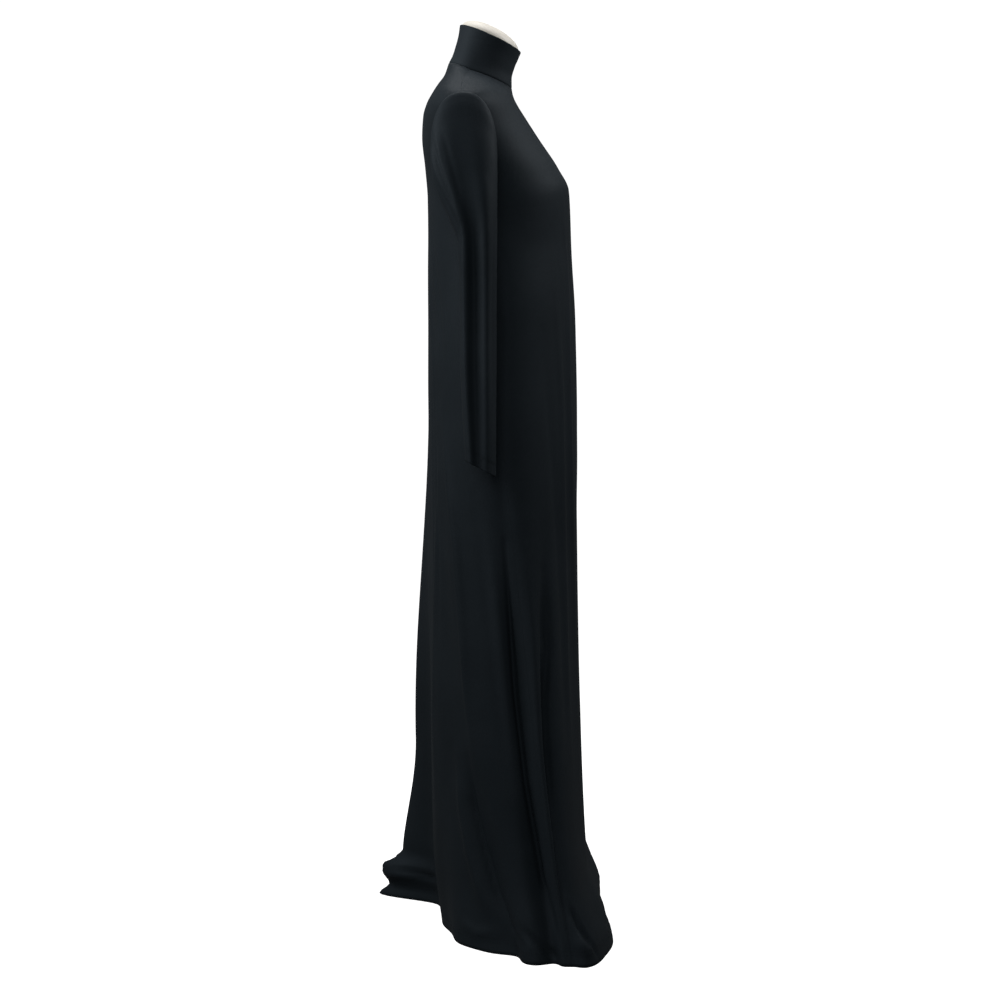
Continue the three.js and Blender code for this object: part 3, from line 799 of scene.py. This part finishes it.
@dataclass
class Sleeve:
    """One long sleeve that hangs empty from its armhole to its cuff."""

    side: int
    wall: float = 1.2 * MM
    columns: int = 112
    rows: int = 230
    cloth: tuple = (0.27, 0.66)
    square: float = 2.2
    groove_angle: float = 8.0
    groove_width: float = 21.0
    tuck: float = 5.0 * MM
    lap: float = 7.0 * MM
    seam_sink: tuple = (0.8 * MM, 0.3 * MM, 0.0)
    smoothing: int = 3
    armhole_x: float = 0.155
    armhole_z: float = 1.1
    whole: Array = field(init=False)
    outside: Array = field(init=False)

    def __post_init__(self) -> None:
        """Works out the sleeve from inside the body to the cuff."""
        columns = column_arrays(SLEEVE_RINGS, SLEEVE_COLUMNS)
        middle_x = (columns["out_x"] + columns["in_x"]) / 2
        middle_z = (columns["out_z"] + columns["in_z"]) / 2
        step = np.hypot(np.diff(middle_x), np.diff(middle_z))
        places = np.concatenate([[0.0], np.cumsum(step)])
        at = np.linspace(0.0, places[-1], self.rows)
        ring = {name: through(places, values, at)[:, None] for name, values in columns.items()}
        angle = (np.arange(self.columns) * 360.0 / self.columns)[None, :]
        cosine = powered(np.cos(np.radians(angle)), 2 / self.square)
        sine = powered(np.sin(np.radians(angle)), 2 / self.square)
        across_x, across_z = (ring["out_x"] - ring["in_x"]) / 2, (ring["out_z"] - ring["in_z"]) / 2
        pinch = ring["groove"] / np.hypot(across_x, across_z)
        pinch = pinch * np.exp(-((turn_between(angle, self.groove_angle) / self.groove_width) ** 2))
        x = (ring["out_x"] + ring["in_x"]) / 2 + across_x * (cosine - pinch)
        y = (ring["front_y"] + ring["back_y"]) / 2 + (ring["back_y"] - ring["front_y"]) / 2 * sine
        z = (ring["out_z"] + ring["in_z"]) / 2 + across_z * (cosine - pinch) + ring["lift"] * sine
        points = np.stack([self.side * x, y + FORM_SETBACK, z], axis=2) * MM
        self.whole = points + self.normals(points) * self.creases(points)[..., None]

    def normals(self, points: Array) -> Array:
        """Normals that point out of the sleeve on either side of the body."""
        return grid_normals(points, True) * -self.side

    def creases(self, points: Array) -> Array:
        """The sleeve's own creases, in metres along its normals."""
        offsets = np.zeros(points.shape[:2])
        for depth, width, places in SLEEVE_CREASES:
            path = []
            for angle, share in places:
                row = int(round(share * (self.rows - 1)))
                path.append(points[row, int(round(angle / 360 * self.columns)) % self.columns])
            offsets += crease_offsets(points, np.array(path), depth * MM, width * MM)
        return offsets

    def trim(self, envelope: BVHTree) -> None:
        """Starts each line of the sleeve a tuck inside the place where it leaves the body.

        Args:
            envelope: the body's surface, a seam's gap larger.
        """
        outside = np.zeros_like(self.whole)
        steps = np.linalg.norm(np.diff(self.whole, axis=0), axis=2)
        places = np.concatenate([np.zeros((1, self.columns)), np.cumsum(steps, axis=0)])
        starts = np.zeros(self.columns)
        for c in range(self.columns):
            leave = self.leaving(self.whole[:, c], envelope)
            starts[c] = np.interp(leave, np.arange(self.rows), places[:, c])
        shifts = range(-self.smoothing, self.smoothing + 1)
        nearby = np.stack([np.roll(starts, shift) for shift in shifts])
        starts = np.minimum(nearby.mean(axis=0), starts) - self.tuck
        for c in range(self.columns):
            length = places[-1, c] - starts[c]
            at = starts[c] + length * np.linspace(0.0, 1.0, self.rows)
            for axis in range(3):
                outside[:, c, axis] = np.interp(at, places[:, c], self.whole[:, c, axis])
        normals = self.normals(outside)
        for row, sink in enumerate(self.seam_sink):
            outside[row] -= normals[row] * sink
        self.outside = outside

    def leaving(self, line: Array, envelope: BVHTree) -> float:
        """The row, as a fraction, where a line of points comes out of the body."""
        heights = []
        for point in line:
            near, normal, _, _ = envelope.find_nearest(Vector(point))
            heights.append((Vector(point) - near).dot(normal))
        upper_half = heights[:self.rows // 2]
        inside = [i for i, height in enumerate(upper_half) if height < 0]
        if not inside:
            return 0.0
        last = inside[-1]
        return last + heights[last] / (heights[last] - heights[last + 1])

    def open_armhole(self, panel: bpy.types.Object) -> None:
        """Takes the cloth of a panel away where the sleeve opens into the body."""
        skin = self.whole.reshape(-1, 3).tolist()
        tube = BVHTree.FromPolygons(skin, grid_faces(self.rows, self.columns, True))
        mesh = bmesh.new()
        mesh.from_mesh(panel.data)
        depth: dict[int, float] = {}
        for vertex in mesh.verts:
            if vertex.co.x * self.side < self.armhole_x or vertex.co.z < self.armhole_z:
                continue
            near, normal, _, _ = tube.find_nearest(vertex.co)
            depth[vertex.index] = -self.side * (vertex.co - near).dot(normal)
        gone = [
            face for face in mesh.faces
            if all(depth.get(v.index, 1.0) < -self.lap for v in face.verts)
        ]
        bmesh.ops.delete(mesh, geom=gone, context="FACES")
        mesh.to_mesh(panel.data)
        mesh.free()

    def build(self, name: str) -> bpy.types.Object:
        """The sleeve as a thin shell, open at both ends."""
        faces = grid_faces(self.rows, self.columns, True)
        if self.side > 0:
            faces = [face[::-1] for face in faces]
        made = make_object(name, self.outside, faces)
        add_cloth_map(made, self.rows, self.columns, self.cloth)
        thicken(made, self.wall)
        return made


@dataclass
class Collar:
    """The mock collar: a band folded double at its top edge."""

    wall: float = 2.4 * MM
    layer: float = 1.1 * MM
    columns: int = 200
    rows: int = 60
    cloth: tuple = (0.36, 0.13)
    roll_steps: int = 9
    seam_sink: tuple = (1.0 * MM, 0.5 * MM, 0.15 * MM)
    crease_depth: float = -0.45 * MM

    def build(self, name: str) -> bpy.types.Object:
        """The collar as a thin shell up its outside, over the fold and down its inside."""
        angles = crowded_angles(self.columns, 0.0)
        outside = LevelTable(COLLAR_LEVELS).points(self.rows, angles)
        normals = grid_normals(outside, True)
        outside += normals * self.soft_waves(angles)[..., None]
        inside = outside - normals * self.wall
        for row, sink in enumerate(self.seam_sink):
            outside[row] -= normals[row] * sink
        up = outside[-1] - outside[-3]
        up /= np.linalg.norm(up, axis=1, keepdims=True)
        roll = []
        for step in range(1, self.roll_steps):
            bow = math.pi * step / self.roll_steps
            middle = outside[-1] - normals[-1] * self.wall / 2
            side = normals[-1] * self.wall / 2 * math.cos(bow)
            roll.append(middle + side + up * self.wall / 2 * math.sin(bow))
        whole = np.concatenate([outside, np.array(roll), inside[::-1]], axis=0)
        made = make_object(name, whole, grid_faces(whole.shape[0], self.columns, True))
        add_cloth_map(made, whole.shape[0], self.columns, self.cloth)
        thicken(made, self.layer)
        return made

    def soft_waves(self, angles: Array) -> Array:
        """Shallow unevenness round the band, and the faint crease at its right side."""
        turn = np.radians(angles)[None, :]
        height = np.linspace(0.0, 1.0, self.rows)[:, None]
        waves = 0.35 * np.sin(3 * turn + 1.1) + 0.25 * np.sin(5 * turn + 2.3 * height + 0.4)
        along = turn_between(angles, 152.0)[None, :] / 34.0
        crease = np.exp(-(((height - 0.74 - 0.10 * along) / 0.05) ** 2 + along**2))
        return waves * MM * np.sin(math.pi * height) + self.crease_depth * crease


@dataclass
class DressForm:
    """The limbless form that the dress rests on, with its capped neck."""

    columns: int = 128
    gap: float = 2.1 * MM
    neck_inset: float = 3.1 * MM
    cap_rise: float = 22.0 * MM
    cap_lean: float = 4.0 * MM
    cap_gap: float = 0.3 * MM
    cap_steps: int = 20
    bust_height: float = 1.19

    def torso_grid(self) -> Array:
        """The form from its flat underside to the top of its neck."""
        angles = crowded_angles(self.columns)
        lower = LevelTable(FORM_LEVELS).points(28, angles)
        skin = LevelTable(BODY_LEVELS).points(260, angles)
        skin = skin - grid_normals(skin, True) * self.gap
        first = int(np.argmax(skin[:, :, 2].min(axis=1) > self.bust_height))
        chest = skin[first:]
        neck = LevelTable(COLLAR_LEVELS).points(24, angles)
        neck = neck - grid_normals(neck, True) * self.neck_inset
        return np.concatenate([lower, chest, neck[2:-1]], axis=0)

    def closed(self, name: str, grid: Array) -> bpy.types.Object:
        """A grid as an object, closed by a flat face at each end."""
        rows = grid.shape[0]
        faces = grid_faces(rows, self.columns, True)
        faces.append(tuple(range(self.columns))[::-1])
        faces.append(tuple((rows - 1) * self.columns + c for c in range(self.columns)))
        return make_object(name, grid, faces)

    def build_torso(self, name: str) -> bpy.types.Object:
        """The covered torso, closed at its underside and its neck."""
        return self.closed(name, self.torso_grid())

    def build_cap(self, name: str) -> bpy.types.Object:
        """A low dome with a rounded rim on the sloping top of the neck."""
        rim = self.torso_grid()[-1] + np.array([0.0, 0.0, self.cap_gap])
        centre = rim.mean(axis=0)
        rings = [rim]
        for step in range(1, self.cap_steps):
            bow = math.pi / 2 * step / self.cap_steps
            ring = centre + (rim - centre) * math.cos(bow) ** 0.8
            ring[:, 1] -= self.cap_lean * math.sin(bow)
            ring[:, 2] += self.cap_rise * math.sin(bow) ** 0.9
            rings.append(ring)
        return self.closed(name, np.array(rings))


# Sewing


@dataclass
class StitchLine:
    """Stitches of a twin-needle hem, made along a path by a node tree."""

    length: float = 2.4 * MM
    pitch: float = 3.2 * MM
    radius: float = 0.22 * MM

    def tree(self, material: bpy.types.Material) -> bpy.types.NodeTree:
        """The node tree that lays stitches along an edge path."""
        tree = bpy.data.node_groups.new("hem stitches", "GeometryNodeTree")
        face = tree.interface
        face.new_socket("Path", in_out="INPUT", socket_type="NodeSocketGeometry")
        for name in ("Pitch", "Length", "Radius"):
            face.new_socket(name, in_out="INPUT", socket_type="NodeSocketFloat")
        face.new_socket("Stitches", in_out="OUTPUT", socket_type="NodeSocketGeometry")
        source, result, turn = (
            tree.nodes.new(kind)
            for kind in ("NodeGroupInput", "NodeGroupOutput", "FunctionNodeAlignRotationToVector")
        )
        curve, spaced, thread, tangent, lay, real, paint = (
            tree.nodes.new("GeometryNode" + kind)
            for kind in (
                "MeshToCurve", "ResampleCurve", "MeshCylinder", "InputTangent", "InstanceOnPoints",
                "RealizeInstances", "SetMaterial",
            )
        )
        spaced.mode = "LENGTH"
        turn.axis = "Z"
        thread.inputs["Vertices"].default_value = 6
        paint.inputs["Material"].default_value = material
        for start, end in (
            (source.outputs["Path"], curve.inputs["Mesh"]),
            (curve.outputs["Curve"], spaced.inputs["Curve"]),
            (source.outputs["Pitch"], spaced.inputs["Length"]),
            (source.outputs["Length"], thread.inputs["Depth"]),
            (source.outputs["Radius"], thread.inputs["Radius"]),
            (tangent.outputs["Tangent"], turn.inputs["Vector"]),
            (spaced.outputs["Curve"], lay.inputs["Points"]),
            (thread.outputs["Mesh"], lay.inputs["Instance"]),
            (turn.outputs["Rotation"], lay.inputs["Rotation"]),
            (lay.outputs["Instances"], real.inputs["Geometry"]),
            (real.outputs["Geometry"], paint.inputs["Geometry"]),
            (paint.outputs["Geometry"], result.inputs["Stitches"]),
        ):
            tree.links.new(start, end)
        return tree

    def build(self, name: str, paths: list[Array], material: bpy.types.Material) -> bpy.types.Object:
        """Lays stitches along closed paths and turns them into one plain mesh.

        Args:
            name: the piece's name.
            paths: points of each path, which closes on itself.
            material: the thread's finish.

        Returns:
            The object.
        """
        points, edges = [], []
        for path in paths:
            start, count = len(points), len(path)
            points.extend(path.tolist())
            edges.extend((start + i, start + (i + 1) % count) for i in range(count))
        mesh = bpy.data.meshes.new(name)
        mesh.from_pydata(points, edges, [])
        made = linked(name, mesh)
        layer = made.modifiers.new("stitches", "NODES")
        layer.node_group = self.tree(material)
        values = {"Pitch": self.pitch, "Length": self.length, "Radius": self.radius}
        for item in layer.node_group.interface.items_tree:
            if item.item_type == "SOCKET" and item.in_out == "INPUT" and item.name in values:
                layer[item.identifier] = values[item.name]
        settle(made)
        return made


# The room


@dataclass(frozen=True)
class Studio:
    """A pale floor, soft light and the camera of the picture."""

    camera_distance: float = 3.9416
    camera_back: float = FORM_SETBACK * MM + 0.0008
    camera_height: float = 0.9826
    camera_pitch: float = 4.17
    focal_pixels: float = 2328.6
    picture_pixels: float = 1000.0
    sensor: float = 36.0
    room_light: float = 0.08
    seen_light: float = 1.05
    floor_size: float = 30.0
    # Each lamp's name, its place, what it faces, its width and its power in watts.
    lamps: tuple = (
        ("over", (0.2, 0.15, 2.4), (0.0, 0.1, 1.3), 0.8, 9.0),
        ("front", (0.22, -1.35, 2.3), (0.0, 0.0, 1.25), 0.7, 14.5),
        ("back", (-0.35, 1.6, 1.9), (0.0, 0.0, 1.0), 0.8, 17.0),
        ("side", (-3.0, 0.2, 1.9), (0.0, 0.0, 1.3), 1.6, 11.0),
    )

    def build_camera(self) -> None:
        """The camera looks at the wearer's right side, a little downwards."""
        data = bpy.data.cameras.new("view")
        data.sensor_width = self.sensor
        data.lens = self.focal_pixels * self.sensor / self.picture_pixels
        camera = linked("view", data)
        camera.location = (-self.camera_distance, self.camera_back, self.camera_height)
        camera.rotation_euler = (math.radians(90.0 - self.camera_pitch), 0.0, math.radians(-90.0))
        bpy.context.scene.camera = camera

    def build_floor(self) -> None:
        """A wide pale floor."""
        signs = ((-1, -1), (1, -1), (1, 1), (-1, 1))
        corners = np.array([(x * self.floor_size, y * self.floor_size, 0.0) for x, y in signs])
        floor = make_object("floor", corners, [(0, 1, 2, 3)])
        finish = PlainFinish(
            "pale floor", (0.93, 0.93, 0.93), 0.9, grain_scale=(3.0, 3.0, 3.0), tone_spread=0.01, glow=1.0,
        )
        floor.data.materials.append(finish.make())
        floor.location.z = -0.0005
        floor.visible_diffuse = False
        floor.visible_glossy = False

    def build_lights(self) -> None:
        """Large soft lights over, before and behind the dress, and a white room."""
        for name, place, target, size, power in self.lamps:
            data = bpy.data.lights.new(name, "AREA")
            data.shape = "SQUARE"
            data.size = size
            data.energy = power
            light = linked(name, data)
            light.location = place
            away = Vector(place) - Vector(target)
            light.rotation_euler = away.to_track_quat("Z", "Y").to_euler()
        world = bpy.data.worlds.new("white room")
        world.use_nodes = True
        tree = world.node_tree
        paint = tree.nodes["Background"]
        paint.inputs["Color"].default_value = (1.0, 1.0, 1.0, 1.0)
        seen = tree.nodes.new("ShaderNodeLightPath")
        strength = tree.nodes.new("ShaderNodeMapRange")
        strength.inputs["To Min"].default_value = self.room_light
        strength.inputs["To Max"].default_value = self.seen_light
        tree.links.new(seen.outputs["Is Camera Ray"], strength.inputs["Value"])
        tree.links.new(strength.outputs["Result"], paint.inputs["Strength"])
        bpy.context.scene.world = world
        bpy.context.scene.view_settings.view_transform = "Standard"


def stitch_paths(points: Array, normals: Array, rows: tuple[int, int]) -> list[Array]:
    """Two stitch paths just off a piece's surface, each along one of its rows."""
    return [points[row] + normals[row] * STITCH_LIFT for row in rows]


def build_dress() -> dict[str, bpy.types.Object]:
    """Builds the cloth and its stitches.

    Returns:
        Each finished piece by its name.
    """
    jersey = JerseyFinish().make()
    # The collar wears a copy of the same jersey painted lighter: painted light from above on the collar.
    jersey_painted_lighter = JerseyFinish(
        "black jersey painted lighter", dark=(0.0170, 0.0222, 0.0270, 1.0), light=(0.0260, 0.0332, 0.0395, 1.0),
    ).make()
    body = Body()
    right, left = Sleeve(-1), Sleeve(1)
    envelope = body.envelope(SEAM_GAP)
    for sleeve in (right, left):
        sleeve.trim(envelope)
    log.info("body and sleeves worked out")

    hem = stitch_paths(body.outside, grid_normals(body.outside, True), HEM_STITCH_ROWS)
    right_cuff, left_cuff = (
        stitch_paths(sleeve.outside, sleeve.normals(sleeve.outside), CUFF_STITCH_ROWS)
        for sleeve in (right, left)
    )
    stitching = StitchLine()
    pieces = (
        (body.build("front", -1, [right, left]), Node.FRONT),
        (body.build("back", 1, [right, left]), Node.BACK),
        (right.build("right_sleeve"), Node.SLEEVE_RIGHT),
        (left.build("left_sleeve"), Node.SLEEVE_LEFT),
        (Collar().build("mock_collar"), Node.COLLAR),
        (stitching.build("hem_stitches", hem, jersey), None),
        (stitching.build("right_cuff_stitches", right_cuff, jersey), None),
        (stitching.build("left_cuff_stitches", left_cuff, jersey), None),
    )
    for made, node in pieces:
        # The collar takes the jersey copy painted lighter, as painted light from above.
        dressed(made, jersey_painted_lighter if node is Node.COLLAR else jersey, node)
    return {made.name: made for made, _ in pieces}


def build_form() -> None:
    """Builds the dress form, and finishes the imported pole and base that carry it."""
    form = DressForm()
    cover = PlainFinish("cream cover", (0.79, 0.75, 0.65), 0.85, grain_scale=(900.0, 900.0, 500.0))
    shell = PlainFinish("cream cap", (0.80, 0.76, 0.68), 0.5, grain_bump=0.04)
    dressed(form.build_torso("torso"), cover.make(), Node.TORSO)
    dressed(form.build_cap("cap"), shell.make(), Node.CAP)
    steel = PlainFinish("brushed steel", (0.56, 0.57, 0.59), 0.32, 1.0, (60.0, 60.0, 2500.0))
    dark = PlainFinish("dark painted steel", (0.045, 0.047, 0.05), 0.45, 0.0, (700.0, 700.0, 700.0), 0.3)
    for node, finish in ((Node.POLE, steel), (Node.BASE, dark)):
        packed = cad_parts[node.value]
        packed.data.materials.clear()
        packed.data.materials.append(finish.make())


def main() -> None:
    """Builds the dress, its form and the room."""
    logging.basicConfig(level=logging.INFO, format="%(name)s: %(message)s")
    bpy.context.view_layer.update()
    studio = Studio()
    studio.build_camera()
    pieces = build_dress()
    build_form()
    studio.build_floor()
    studio.build_lights()


if __name__ == "__main__":
    main()
